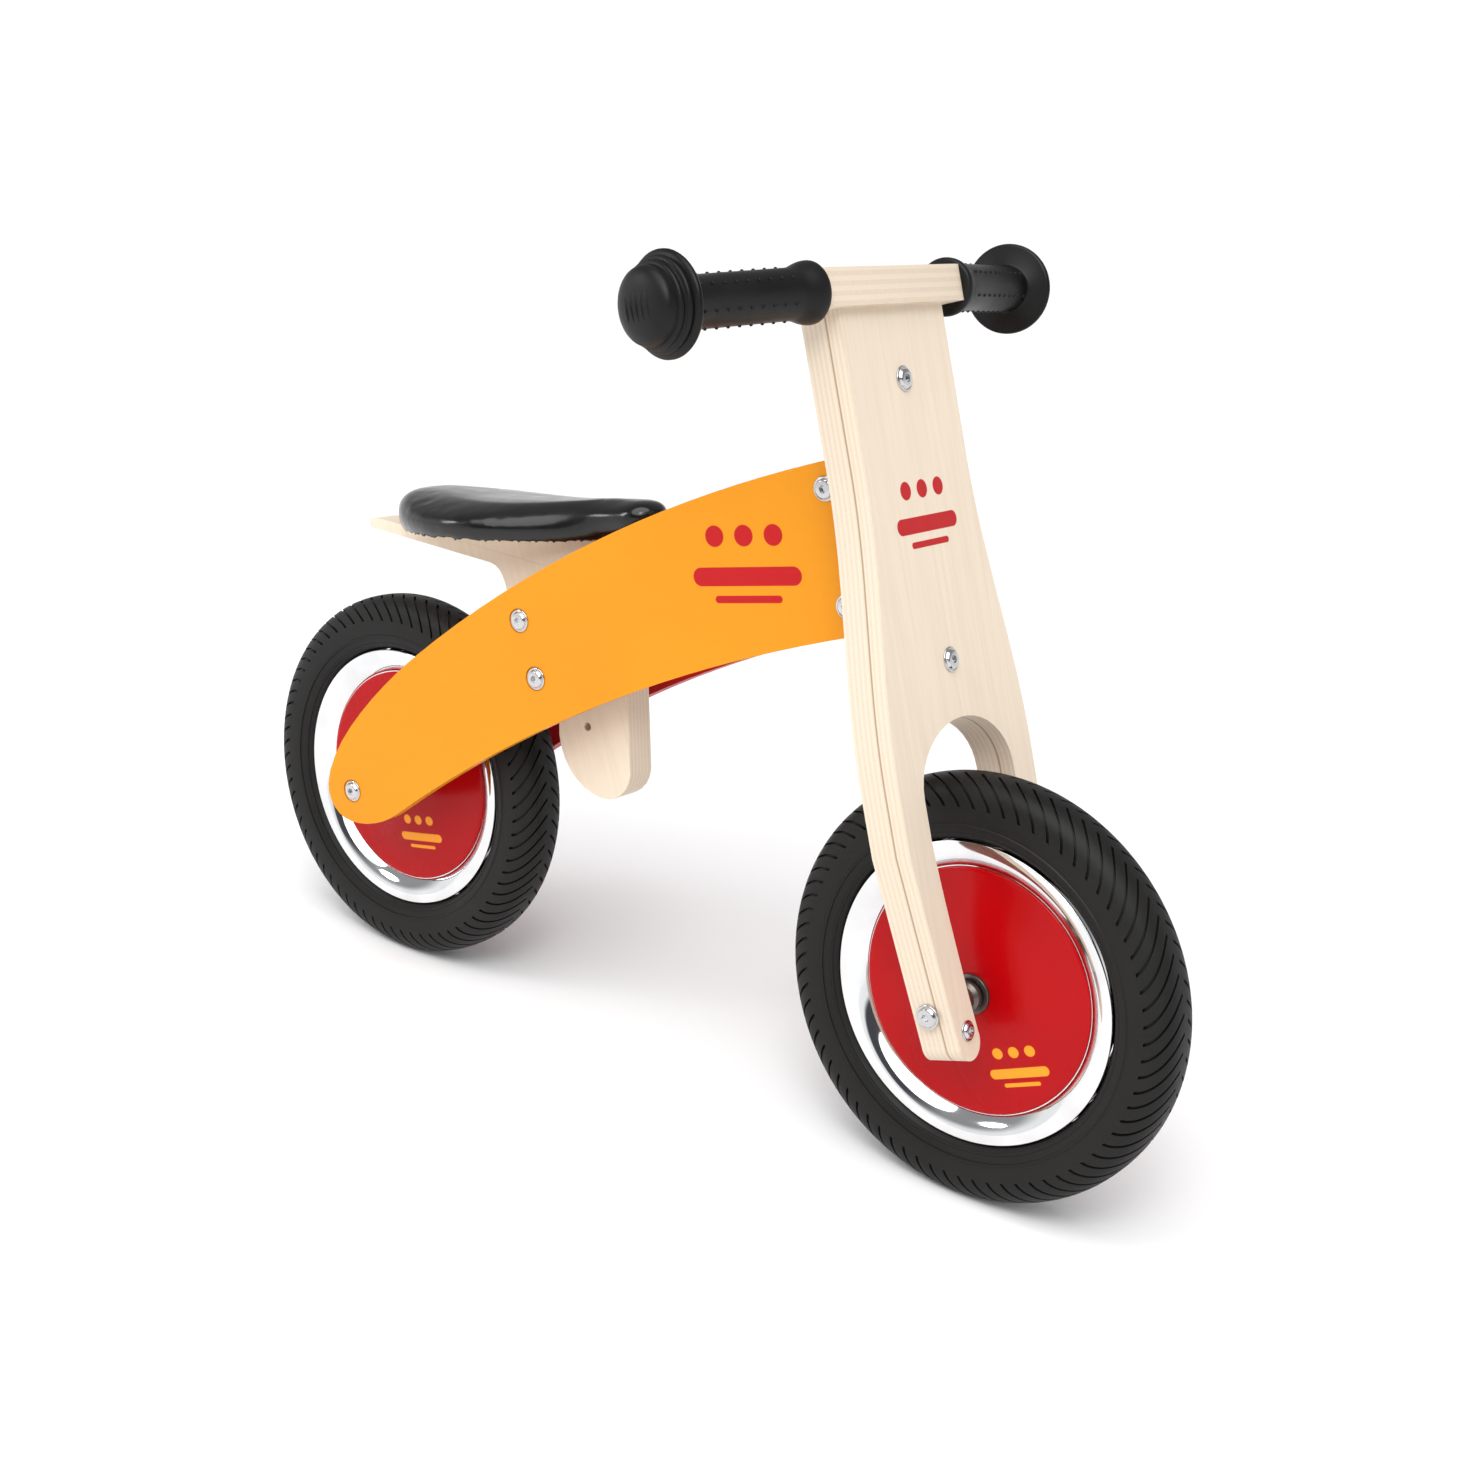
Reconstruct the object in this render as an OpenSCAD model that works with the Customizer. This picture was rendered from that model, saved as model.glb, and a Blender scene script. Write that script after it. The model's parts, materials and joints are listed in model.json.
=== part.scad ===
// Child's balance bike: two frame panels toed in to the head, a flat fork board with an
// arch over the wheel, a laminated handlebar, a padded saddle on a slanted post and two
// pneumatic wheels with dished cover discs.
// Millimetres, +X forward, +Y the bike's left, +Z up, origin on the ground midway
// between the two axles.

/* [Wheels] */
// Distance between the front and the rear axle
wheelbase = 550; // [500:5:620]
// Outside diameter of the inflated tyre
tyre_d = 300; // [270:1:330]
// Width of the inflated tyre
tyre_w = 45; // [36:1:52]
// Diameter over the rim's lips
rim_d = 213; // [200:1:226]
// Width over the rim's lips
rim_w = 34.6; // [28:0.2:40]
// Diameter of the red cover discs
disc_d = 174; // [160:1:184]
// Diameter of the axles
axle_d = 8; // [6:0.5:10]
// Outside diameter of the wheel bearings
bearing_d = 22; // [19:1:28]
// Width of one wheel bearing
bearing_w = 7; // [5:0.5:9]

/* [Frame panels] */
// Thickness of a frame panel
panel_t = 12; // [9:0.5:15]
// Half the width over the panels at the rear axle
panel_half = 70; // [62:1:80]
// Half the width over the panels where their line passes the front axle
panel_front = 19; // [15:0.5:32]
// Radius of the panel's upper edge
panel_top_r = 1076; // [700:10:1600]
// Radius of the panel's lower edge
panel_low_r = 1248; // [800:10:1800]
// Radius of the panel's rear end around the axle
panel_end_r = 26; // [20:1:32]
// Height of the upper edge above the axles, just ahead of the rear wheel
panel_rear_h = 127; // [110:1:145]
// Height of the upper edge above the axles at the head
panel_head_h = 338; // [300:2:370]
// Depth of the panel at the head
panel_depth = 124; // [100:1:150]

/* [Fork] */
// Angle of the fork board from the vertical
rake = 19.2; // [12:0.2:26]
// Thickness of the fork board
board_t = 30; // [22:1:36]
// Distance of the axle behind the board's front face
board_set = 17.5; // [12:0.5:22]
// Half the board's width at the handlebar
board_half = 61; // [50:1:72]
// Half the board's greatest width, at the arch
board_wide = 83.5; // [74:0.5:95]
// Length of the board above the axle
board_h = 460; // [420:5:500]
// Half the width of the arch over the wheel
arch_half = 56.5; // [48:0.5:64]
// Height of the arch's crown above the axle
arch_h = 186; // [172:1:200]
// Height of the lower board bolt above the axle
bolt_low = 225; // [205:1:240]
// Height of the upper board bolt above the axle
bolt_high = 412; // [395:1:430]

/* [Steering] */
// Distance of the steering pin behind the axle's line
pin_back = 38; // [32:0.5:44]
// Diameter of the steering pin
pin_d = 8; // [6:0.5:10]
// Clearance between the pin and its bushes, on the radius
pin_gap = 0.06; // [0.03:0.01:0.1]
// Width of the lugs that carry the pin
lug_w = 26; // [20:1:30]
// Lower end of the head block above the axle
head_low = 253; // [245:1:260]
// Upper end of the head block above the axle
head_high = 366; // [350:1:372]
// Distance of the panels' rounded noses behind the axle's line
nose_back = 26; // [22:0.5:32]

/* [Handlebar] */
// Width of the bar between the grips
bar_d = 26; // [22:1:32]
// Diameter of the bar inside the grips
tenon_d = 22; // [18:1:26]
// Half the length of the bar's straight middle
bar_half = 72; // [64:1:84]
// Angle by which the grips sweep back
sweep = 9.5; // [0:0.5:18]
// Length of a grip along its axis
grip_l = 150; // [125:1:160]
// Diameter of the grip's barrel
grip_d = 32.6; // [28:0.2:36]
// Diameter of the grip's inner flare
flare_d = 40; // [36:1:46]
// Diameter of the hand guard at the grip's outer end
guard_d = 64.6; // [50:0.2:76]

/* [Seat] */
// Thickness of the seat post plank
post_t = 25; // [18:1:30]
// Distance of the middle of the seat bolts ahead of the rear tyre
seat_ahead = 15; // [8:1:26]
// Height of the middle of the seat bolts above the axles
seat_z = 155; // [145:1:165]
// Distance between neighbouring holes in the post
hole_pitch = 44.6; // [40:0.2:50]
// Slant of the row of holes from the vertical
post_slant = 24.5; // [18:0.5:30]
// Length of the saddle
saddle_l = 256; // [225:1:285]
// Half the saddle's greatest width
saddle_half = 63; // [52:1:74]
// Half the width of the saddle's nose
nose_half = 21; // [16:1:28]
// Thickness of the padding above the saddle's middle line
pad_up = 19.5; // [14:0.5:26]
// Depth of the padding below the saddle's middle line
pad_down = 23; // [18:0.5:28]
// Slope of the saddle, nose up
saddle_tilt = 8; // [0:0.5:14]

/* [Fits] */
// Clearance between a bolt and its hole, on the radius
bolt_gap = 0.1; // [0.05:0.05:0.3]
// Clearance between an axle and its bearings, on the radius
axle_gap = 0.05; // [0.02:0.01:0.1]
// Side clearance between a bearing and its spacer
side_gap = 0.15; // [0.1:0.05:0.4]
// Clearance between the padding and the saddle board
pad_gap = 0.3; // [0.2:0.1:0.6]

/* [Hidden] */
$fn = 96;
axle_z = tyre_d / 2;
rear_x = -wheelbase / 2;
front_x = wheelbase / 2;
panel_toe = atan((panel_half - panel_front) / wheelbase);
seat_x = tyre_d / 2 + seat_ahead;  // middle of the seat bolts ahead of the rear axle
head_r = 8.5;                      // bolt heads
head_h = 3.4;
screw_d = 6;
flange = 4;                        // thickness of the steering bushes' flanges
board_rear = board_set - board_t;  // rear face of the board, in fork coordinates
board_front = board_set;
leg_foot = -22;                    // centre of a leg's round tip below the axle
leg_seat = 44;                     // spacer seats on the fork legs
leg_head = 69.4;                   // axle bolt seats on the fork legs
rear_seat = panel_half - panel_t * 0.92;
rear_head = panel_half - 0.8;
bar_s = board_h + bar_d / 2 - 1.5; // bar axis above the axle, in fork coordinates
bar_x = 12;                        // bar axis ahead of the axle
pad_board_t = 6;
pad_board_in = 7;
plank_top = 208.5;                 // upper edge of the post's arm above the axles
hub_r = 14;

// colours
c_orange = [0.96, 0.62, 0.09];
c_red = [0.80, 0.05, 0.05];
c_birch = [0.94, 0.86, 0.74];
c_rubber = [0.08, 0.08, 0.08];
c_steel = [0.75, 0.75, 0.77];
c_dark = [0.22, 0.20, 0.19];
c_black = [0.05, 0.05, 0.06];

function clamp01(v) = min(1, max(0, v));
function blend(v) = 0.5 - 0.5 * cos(180 * clamp01(v));
// centre of the circle of radius r that bows upwards through p and q
function arc_centre(p, q, r) =
    let (m = (p + q) / 2, v = q - p, l = norm(v), h = sqrt(r * r - l * l / 4))
    m + [v[1], -v[0]] / l * h;
function bezier(a, b, c, d, t) =
    a * pow(1 - t, 3) + 3 * b * t * pow(1 - t, 2) + 3 * c * t * t * (1 - t) + d * pow(t, 3);

module at_rear() { translate([rear_x, 0, axle_z]) children(); }
module at_front() { translate([front_x, 0, axle_z]) rotate([0, -rake, 0]) children(); }
module both_sides() { children(); mirror([0, 1, 0]) children(); }
// local frame of the right panel: x along the panel, y inwards from its outer face
module at_panel() {
    translate([rear_x, -panel_half, axle_z]) rotate([0, 0, panel_toe]) children();
}
// a rod along y from y0 to y1
module rod(r, y0, y1) { translate([0, y0, 0]) rotate([-90, 0, 0]) cylinder(r = r, h = y1 - y0); }
// extrudes an x-z outline from y0 to y1
module slab(y0, y1) { translate([0, y1, 0]) rotate([90, 0, 0]) linear_extrude(y1 - y0) children(); }

// socket bolt: seat at z = 0, head above, shank below
module bolt(r, l, hr = head_r, hh = head_h) {
    difference() {
        union() {
            rotate_extrude() polygon([[0, 0], [hr, 0], [hr, hh * 0.3], [hr - 0.7, hh * 0.45],
                [hr - 1.5, hh * 0.34], [hr - 1.9, hh * 0.66], [hr - 2.6, hh * 0.92],
                [hr - 3.3, hh], [0, hh]]);
            translate([0, 0, -l]) cylinder(r = r, h = l + 0.1);
        }
        translate([0, 0, hh - 2.4]) linear_extrude(3) circle(r = 2.9, $fn = 6);
    }
}

// ---------------------------------------------------------------- frame panels
panel_a = [60, panel_rear_h];
panel_b = [wheelbase - 149, panel_head_h];
panel_tc = arc_centre(panel_a, panel_b, panel_top_r);
panel_lc = arc_centre([60, 4], [wheelbase - 121, panel_b[1] + 8 - panel_depth], panel_low_r);
function panel_top(x) = panel_tc[1] + sqrt(pow(panel_top_r, 2) - pow(x - panel_tc[0], 2));
function panel_low(x) = panel_lc[1] + sqrt(pow(panel_low_r, 2) - pow(x - panel_lc[0], 2));
panel_end = wheelbase - 60;
module panel_outline() {
    slope = atan2(panel_tc[0] - 60, panel_a[1] - panel_tc[1]);
    low_a = [46, panel_low(46)];
    low_slope = atan2(panel_lc[0] - 46, low_a[1] - panel_lc[1]);
    e = panel_end_r;
    polygon(concat(
        [for (i = [0:10]) bezier([-e, 0], [-e, 38],
            panel_a - 42 * [cos(slope), sin(slope)], panel_a, i / 10)],
        [for (i = [1:22]) let (x = 60 + (panel_end - 60) * i / 22) [x, panel_top(x)]],
        [for (i = [0:23]) let (x = panel_end - (panel_end - 46) * i / 24) [x, panel_low(x)]],
        [for (i = [0:6]) bezier(low_a, low_a - 16 * [cos(low_slope), sin(low_slope)],
            [17, -e], [0, -e], i / 6)],
        [for (i = [1:5]) let (a = 270 - 15 * i) e * [cos(a), sin(a)]]));
}
nose_rake = atan(tan(rake) / cos(panel_toe));
nose_x = (-nose_back / cos(rake) + wheelbase + panel_t / 2 * sin(panel_toe)) / cos(panel_toe);
head_bolt_s = [head_high - 15.5, head_low + 18];
head_bolt_back = 36;
seat_step = hole_pitch * [sin(post_slant), -cos(post_slant)];
seat_holes = [for (k = [-0.5, 0.5]) [seat_x, seat_z] + k * seat_step];
function panel_y(x) = panel_half - x * tan(panel_toe);   // outer face, x ahead of the rear axle
module seat_holes_cut(r) {
    for (p = seat_holes) translate([rear_x + p[0], 0, axle_z + p[1]]) rod(r, -90, 90);
}
// straight screws that hold the right panel to the head block
module head_screw_axes() {
    for (s = head_bolt_s) at_panel() {
        z = s * cos(rake) - head_bolt_back * sin(rake);
        x = (wheelbase - head_bolt_back * cos(rake) - s * sin(rake)) / cos(panel_toe);
        translate([x, 0, z]) rotate([90, 0, 0]) children();
    }
}
module panel() {
    difference() {
        at_panel() difference() {
            slab(0, panel_t) panel_outline();
            translate([nose_x, 0, 0]) rotate([0, -nose_rake, 0]) linear_extrude(700)
                difference() {
                    translate([-panel_t / 2, -1]) square([300, panel_t + 2]);
                    translate([-panel_t / 2, panel_t / 2]) circle(panel_t * 0.505);
                }
        }
        at_rear() rod(axle_d / 2 + bolt_gap, -90, 0);
        at_rear() rod(head_r + 1, -90, -rear_head);
        at_rear() rod(10.2, -rear_seat, 0);
        seat_holes_cut(axle_d / 2 + bolt_gap);
        for (p = seat_holes) translate([rear_x + p[0], 0, axle_z + p[1]])
            rod(head_r + 0.8, -90, -panel_y(p[0]) + 0.9);
        head_screw_axes() translate([0, 0, -40]) cylinder(r = screw_d / 2 + bolt_gap, h = 60);
    }
}
module panel_right() { color(c_orange) panel(); }
module panel_left() { color(c_red) mirror([0, 1, 0]) panel(); }

module between_panels(y0, y1) {
    difference() {
        children();
        both_sides() at_panel() translate([-100, -200, -300]) cube([900, 200 + panel_t, 900]);
    }
}
module head_block() {
    color(c_birch) difference() {
        between_panels() at_front() translate([-64, -60, head_low])
            cube([64 - nose_back, 120, head_high - head_low]);
        at_front() translate([-pin_back, 0, 0]) {
            cylinder(r = pin_d / 2 + 0.4, h = 600);
            translate([0, 0, head_low - 1]) cylinder(r = 6.5, h = 21);
            translate([0, 0, head_high - 20]) cylinder(r = 6.5, h = 21);
        }
        both_sides() head_screw_axes() translate([0, 0, -25]) cylinder(r = screw_d / 2, h = 40);
    }
}
module head_bushes() {
    color(c_dark) at_front() translate([-pin_back, 0, 0])
    for (e = [[head_low, 1], [head_high, -1]]) translate([0, 0, e[0]]) scale([1, 1, e[1]])
        rotate_extrude() polygon([[pin_d / 2 + pin_gap, -flange], [11, -flange], [11, 0],
            [6.5, 0], [6.5, 20], [pin_d / 2 + pin_gap, 20]]);
}
module head_screws() {
    color(c_steel) both_sides() head_screw_axes() bolt(screw_d / 2, panel_t + 12);
}

// ------------------------------------------------------------------------ seat
post_foot = [seat_x + 47, 90];
post_hole = 3.2;                   // radius of the post's three holes
function shoulder(x) = panel_y(x) - 0.9 - post_t / 2 - 0.5;   // thick part of a seat bolt
module post_outline() {
    polygon(concat(
        [[-50, 199.5], [-53, 202], [-52, 206.5], [-42, plank_top], [seat_x + 49, plank_top]],
        [[seat_x + 64, 130]],
        [for (i = [0:6]) let (a = -90 * i / 6) post_foot + [0, -22] + 26 * [cos(a), sin(a)]],
        [for (i = [1:8]) let (a = -90 - 90 * i / 8) post_foot + 48 * [cos(a), sin(a)]],
        [for (i = [0:6]) [seat_x, 0] + bezier([-61, 176], [-67, 186], [-69, 198], [-83, 198.5], i / 6)]));
}
module seat_post() {
    color(c_birch) difference() {
        translate([rear_x, 0, axle_z]) slab(-post_t / 2, post_t / 2) post_outline();
        for (k = [-0.5, 0.5, 1.5]) translate([rear_x + seat_x, 0, axle_z + seat_z])
            translate([k * seat_step[0], 0, k * seat_step[1]]) rod(post_hole, -30, 30);
    }
}
module seat_spacer() {
    difference() {
        between_panels() translate([rear_x + seat_x, 0, axle_z + seat_z]) rotate([0, post_slant, 0])
            translate([-20, -60, -52]) rotate([0, 0, 0]) cube([40, 60 - post_t / 2, 90]);
        seat_holes_cut(axle_d / 2 + bolt_gap);
    }
}
module seat_spacer_right() { color(c_birch) seat_spacer(); }
module seat_spacer_left() { color(c_birch) mirror([0, 1, 0]) seat_spacer(); }
module seat_bolts() {
    color(c_steel) for (p = seat_holes) translate([rear_x + p[0], -panel_y(p[0]) + 0.9, axle_z + p[1]])
        rotate([90, 0, 0]) { bolt(axle_d / 2, shoulder(p[0])); bolt(3, panel_y(p[0]) + 24); }
}
module seat_sleeves() {
    color(c_steel) for (p = seat_holes) translate([rear_x + p[0], panel_y(p[0]) - 0.9, axle_z + p[1]])
        rotate([-90, 0, 0]) difference() {
            bolt(axle_d / 2, shoulder(p[0]));
            translate([0, 0, -panel_y(p[0])]) cylinder(r = 3.05, h = panel_y(p[0]) - 6);
        }
}

// local frame of the saddle: x along the saddle board from its rear end, z up from its underside
module at_saddle() {
    translate([rear_x - 12, 0, axle_z + 211]) rotate([0, -saddle_tilt, 0]) children();
}
wide_x = 0.36 * saddle_l;
function half_width(x) =
    x < wide_x ? saddle_half * sqrt(max(0, 1 - pow((wide_x - x) / wide_x, 2)))
    : (saddle_half + (nose_half - saddle_half) * blend((x - wide_x) / (0.8 * (saddle_l - wide_x))))
        * sqrt(max(0, 1 - pow(max(0, (x - saddle_l + nose_half) / nose_half), 2)));
function mid_z(x) = let (s = x / saddle_l) 12 - 29 * s + 35 * s * s;
function fullness(x) = (1 - 0.3 * x / saddle_l)
    * sqrt(max(0.0004, 1 - pow(clamp01((25 - x) / 25), 2)))
    * sqrt(max(0.0004, 1 - pow(clamp01((x - saddle_l + 18) / 18), 2)));
module board_outline(extra = 0) {
    n = 20;
    len = saddle_l - 38;
    inset = pad_board_in - extra;
    function bx(i) = inset + (len - inset) * (0.5 - 0.5 * cos(180 * i / n));
    function by(i) = let (x = bx(i)) max(0.5, half_width(x) - inset)
        * sqrt(max(0, 1 - pow(clamp01((x - len + 14) / 14), 2)));
    polygon(concat([for (i = [0:n]) [bx(i), by(i)]], [for (i = [n - 1:-1:1]) [bx(i), -by(i)]]));
}
module seat_wedge() {
    color(c_birch) difference() {
        intersection() {
            at_saddle() translate([14, -post_t / 2, -60]) cube([186, post_t, 60]);
            translate([rear_x - 60, -60, axle_z + plank_top]) cube([400, 120, 100]);
        }
        saddle_screw_holes(2.2);
    }
}
screw_x = [95, 165];
module saddle_screw_holes(r) {
    at_saddle() for (x = screw_x) translate([x, 0, -13]) cylinder(r = r, h = 40);
}
module saddle_board() {
    color(c_birch) difference() {
        at_saddle() linear_extrude(pad_board_t) board_outline();
        saddle_screw_holes(2.2);
    }
}
module saddle_screws() {
    color(c_steel) at_saddle() for (x = screw_x) translate([x, 0, -12])
        cylinder(r = 2.15, h = 12 + pad_board_t);
}
module saddle_shell() {
    n = 30;
    m = 28;
    e = 0.8;
    function px(i) = saddle_l * (0.5 - 0.5 * cos(180 * (0.02 + 0.96 * i / n)));
    function ring(i) = [for (k = [0:m - 1]) let (a = 360 * k / m, x = px(i),
        c = cos(a), s = sin(a), h = s > 0 ? pad_up : pad_down)
        [x, half_width(x) * sign(c) * pow(abs(c), e),
         mid_z(x) + h * fullness(x) * sign(s) * pow(abs(s), e)]];
    pts = concat([for (i = [0:n]) each ring(i)], [[0, 0, mid_z(0)], [saddle_l, 0, mid_z(saddle_l)]]);
    a = (n + 1) * m;
    faces = concat(
        [for (i = [0:n - 1]) for (k = [0:m - 1]) let (q = (k + 1) % m)
            [i * m + k, i * m + q, (i + 1) * m + q]],
        [for (i = [0:n - 1]) for (k = [0:m - 1]) let (q = (k + 1) % m)
            [i * m + k, (i + 1) * m + q, (i + 1) * m + k]],
        [for (k = [0:m - 1]) [a, (k + 1) % m, k]],
        [for (k = [0:m - 1]) [a + 1, n * m + k, n * m + (k + 1) % m]]);
    polyhedron(pts, faces);
}
// room for the post's arm, which runs out under the rear of the padding
module arm_slot() {
    w = post_t / 2 + 1;
    rotate([0, saddle_tilt, 0]) translate([-60, -w, -60]) cube([200, 2 * w, 58]);
}
module saddle_pad() {
    color(c_black) at_saddle() difference() {
        saddle_shell();
        translate([0, 0, -40]) linear_extrude(40 + pad_board_t + pad_gap) board_outline(pad_gap);
        arm_slot();
    }
}

// ---------------------------------------------------------------------- wheels
// superellipse section point, centred on radius c
function bulge(c, ry, rr, a, e = 0.76) =
    [c + rr * sign(cos(a)) * pow(abs(cos(a)), e), ry * sign(sin(a)) * pow(abs(sin(a)), e)];
sec_r = rim_d / 2 - 2.5;
sec_c = (tyre_d / 2 + sec_r) / 2;
sec_h = (tyre_d / 2 - sec_r) / 2;
seat_r = rim_d / 2 - 4.9;          // bead seat
lip_in = rim_w / 2 - 1.8;          // inner face of the lip
module spin() { rotate([-90, 0, 0]) rotate_extrude() children(); }
module tyre() {
    spin() difference() {
        union() {
            polygon([for (i = [0:47]) bulge(sec_c, tyre_w / 2, sec_h, 7.5 * i)]);
            for (y = [10.2, 0.2 - lip_in]) translate([seat_r + 0.1, y])
                square([9, lip_in - 10.4]);
        }
        polygon([for (i = [0:35]) bulge(sec_c, tyre_w / 2 - 3.5, sec_h - 4.5, 10 * i)]);
        translate([seat_r - 20, -10.2]) square([29, 20.4]);
        for (y = [lip_in - 0.15, 0.15 - lip_in - 20]) translate([seat_r - 10, y])
            square([15.2, 20]);
    }
}
module tube() {
    spin() difference() {
        polygon([for (i = [0:23]) bulge(sec_c, tyre_w / 2 - 4.1, sec_h - 5.1, 15 * i)]);
        polygon([for (i = [0:23]) bulge(sec_c, tyre_w / 2 - 5.6, sec_h - 6.6, 15 * i)]);
    }
}
module rim() {
    r = rim_d / 2;
    well = seat_r - 4.6;
    half = [[well, 0], [well, 8.4], [seat_r, 10.1], [seat_r, lip_in], [r - 0.5, lip_in],
        [r, lip_in + 0.5], [r, rim_w / 2 - 0.5], [r - 0.5, rim_w / 2], [r - 1.8, rim_w / 2]];
    dish = [for (i = [1:7]) let (t = i / 7)
        [r - 1.8 - 17 * t, rim_w / 2 - (rim_w / 2 - 8.4) * pow(t, 2.2)]];
    back = [[r - 21.5, 8.4], [r - 21.5, 6.9], [r - 16, 7.9], [well - 1.7, 11.4], [well - 1.7, 0]];
    up = concat(half, dish, back);
    spin() polygon(concat(up, [for (i = [len(up) - 2:-1:1]) [up[i][0], -up[i][1]]]));
}
disc_low = 8.5;                    // inner face of the disc at its edge
disc_high = 14.2;                  // outer face of the disc at the hub
function dome(r) = (disc_high - disc_low - 1.7) * blend(1 - (r - 24) / (disc_d / 2 - 34));
disc_rs = [24, 34, 44, 54, 64, 74];
module disc() {
    r = disc_d / 2;
    spin() polygon(concat(
        [[hub_r + 0.1, disc_high], [24, disc_high]],
        [for (q = disc_rs) [q, disc_low + 1.7 + dome(q)]],
        [[r - 1, disc_low + 1.6], [r, disc_low + 0.7], [r, disc_low]],
        [for (i = [5:-1:0]) [disc_rs[i], disc_low + dome(disc_rs[i])]],
        [[hub_r + 0.1, disc_low + dome(24)]]));
}
hub_end = 17;
module hub() {
    f = disc_low + dome(24);
    b = bearing_d / 2;
    e = hub_end;
    right = [[axle_d / 2 + 2, e - bearing_w], [b, e - bearing_w], [b, e], [hub_r, e],
        [hub_r, f], [24, f], [24, f - 2.5], [hub_r, f - 2.5]];
    spin() polygon(concat(right, [for (i = [len(right) - 1:-1:0]) [right[i][0], -right[i][1]]]));
}
module bearings() {
    both_sides() spin() translate([axle_d / 2 + axle_gap, hub_end - bearing_w])
        square([bearing_d / 2 - axle_d / 2 - axle_gap, bearing_w]);
}
module spacers(seat) {
    both_sides() spin() polygon([[axle_d / 2 + bolt_gap, hub_end + side_gap],
        [7, hub_end + side_gap], [7, hub_end + 2], [11, hub_end + 2.4], [11, hub_end + 6],
        [8.6, hub_end + 9], [8.6, seat], [axle_d / 2 + bolt_gap, seat]]);
}
module axle(seat) {
    difference() {
        rod(axle_d / 2, -seat + 1, seat - 1);
        both_sides() rod(2.65, seat - 24, seat);
    }
}
module axle_bolts(seat) {
    both_sides() translate([0, seat, 0]) rotate([-90, 0, 0]) bolt(2.6, 22);
}
module rear_tyre() { color(c_rubber) at_rear() tyre(); }
module rear_tube() { color(c_rubber) at_rear() tube(); }
module rear_rim() { color(c_steel) at_rear() rim(); }
module rear_disc_right() { color(c_red) at_rear() mirror([0, 1, 0]) disc(); }
module rear_disc_left() { color(c_red) at_rear() disc(); }
module rear_hub() { color(c_dark) at_rear() hub(); }
module rear_bearings() { color(c_steel) at_rear() bearings(); }
module rear_spacers() { color(c_dark) at_rear() spacers(rear_seat); }
module rear_axle() { color(c_steel) at_rear() axle(rear_head); }
module rear_axle_bolts() { color(c_steel) at_rear() axle_bolts(rear_head); }
module front_tyre() { color(c_rubber) at_front() tyre(); }
module front_tube() { color(c_rubber) at_front() tube(); }
module front_rim() { color(c_steel) at_front() rim(); }
module front_disc_right() { color(c_red) at_front() mirror([0, 1, 0]) disc(); }
module front_disc_left() { color(c_red) at_front() disc(); }
module front_hub() { color(c_dark) at_front() hub(); }
module front_bearings() { color(c_steel) at_front() bearings(); }
module front_spacers() { color(c_dark) at_front() spacers(leg_seat); }
module front_axle() { color(c_steel) at_front() axle(leg_head); }
module front_axle_bolts() { color(c_steel) at_front() axle_bolts(leg_head); }

// ------------------------------------------------------------------------ fork
function leg_out(s) = s < 110 ? board_wide - 0.145 * (110 - s)
    : board_half + (board_wide - board_half) * blend((360 - s) / 210);
function leg_in(s) = arch_half - (s < 115 ? 13.5 * pow((115 - s) / 115, 1.3) : 0);
arch_rise = 44.5;
module board_profile() {
    n = 44;
    m = 12;
    rows = [for (i = [0:n]) leg_foot + (board_h - leg_foot) * i / n];
    low = [for (i = [0:m]) leg_foot + (arch_h - arch_rise - leg_foot) * i / m];
    tip_r = (leg_out(leg_foot) - leg_in(leg_foot)) / 2;
    difference() {
        polygon(concat([for (s = rows) [leg_out(s), s]],
            [for (i = [n:-1:0]) [-leg_out(rows[i]), rows[i]]]));
        polygon(concat([[leg_in(leg_foot), leg_foot - 1]], [for (s = low) [leg_in(s), s]],
            [for (i = [1:19]) let (a = 9 * i)
                [arch_half * cos(a), arch_h - arch_rise + arch_rise * sin(a)]],
            [for (i = [m:-1:0]) [-leg_in(low[i]), low[i]]], [[-leg_in(leg_foot), leg_foot - 1]]));
    }
    for (k = [-1, 1]) translate([k * (leg_out(leg_foot) - tip_r), leg_foot]) circle(tip_r);
}
module fork_board() {
    color(c_birch) at_front() difference() {
        translate([board_rear, 0, 0]) rotate([90, 0, 90]) linear_extrude(board_t) board_profile();
        rod(axle_d / 2 + bolt_gap, -100, 100);
        rod(10.2, -leg_seat, leg_seat);
        both_sides() rod(head_r + 0.8, leg_head, 100);
        for (s = [bolt_low, bolt_high]) translate([-50, 0, s]) rotate([0, 90, 0])
            cylinder(r = screw_d / 2 + bolt_gap, h = 100);
        both_sides() translate([board_front - 24, 52.6, -14]) rotate([0, 90, 0])
            cylinder(r = 2.6, h = 60);
        both_sides() translate([bar_x, 34, board_h - 34]) cylinder(r = 4.05, h = 60);
    }
}
module lug(s0, s1, bs) {
    at_front() difference() {
        translate([0, 0, s0]) linear_extrude(s1 - s0) union() {
            translate([-pin_back, -lug_w / 2]) square([pin_back + board_rear, lug_w]);
            translate([-pin_back, 0]) circle(lug_w / 2);
        }
        translate([-pin_back, 0, 0]) cylinder(r = pin_d / 2 + bolt_gap, h = 700);
        translate([-31, 0, bs]) rotate([0, 90, 0]) cylinder(r = screw_d / 2 + bolt_gap, h = 60);
    }
}
module upper_lug() {
    color(c_birch) lug(head_high + flange + side_gap, bolt_high + 22, bolt_high);
}
module lower_lug() {
    color(c_birch) lug(bolt_low - 22, head_low - flange - side_gap, bolt_low);
}
module lug_screws() {
    color(c_steel) at_front() for (s = [bolt_low, bolt_high]) translate([board_front, 0, s])
        rotate([0, 90, 0]) bolt(screw_d / 2, board_t + 17);
}
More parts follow.
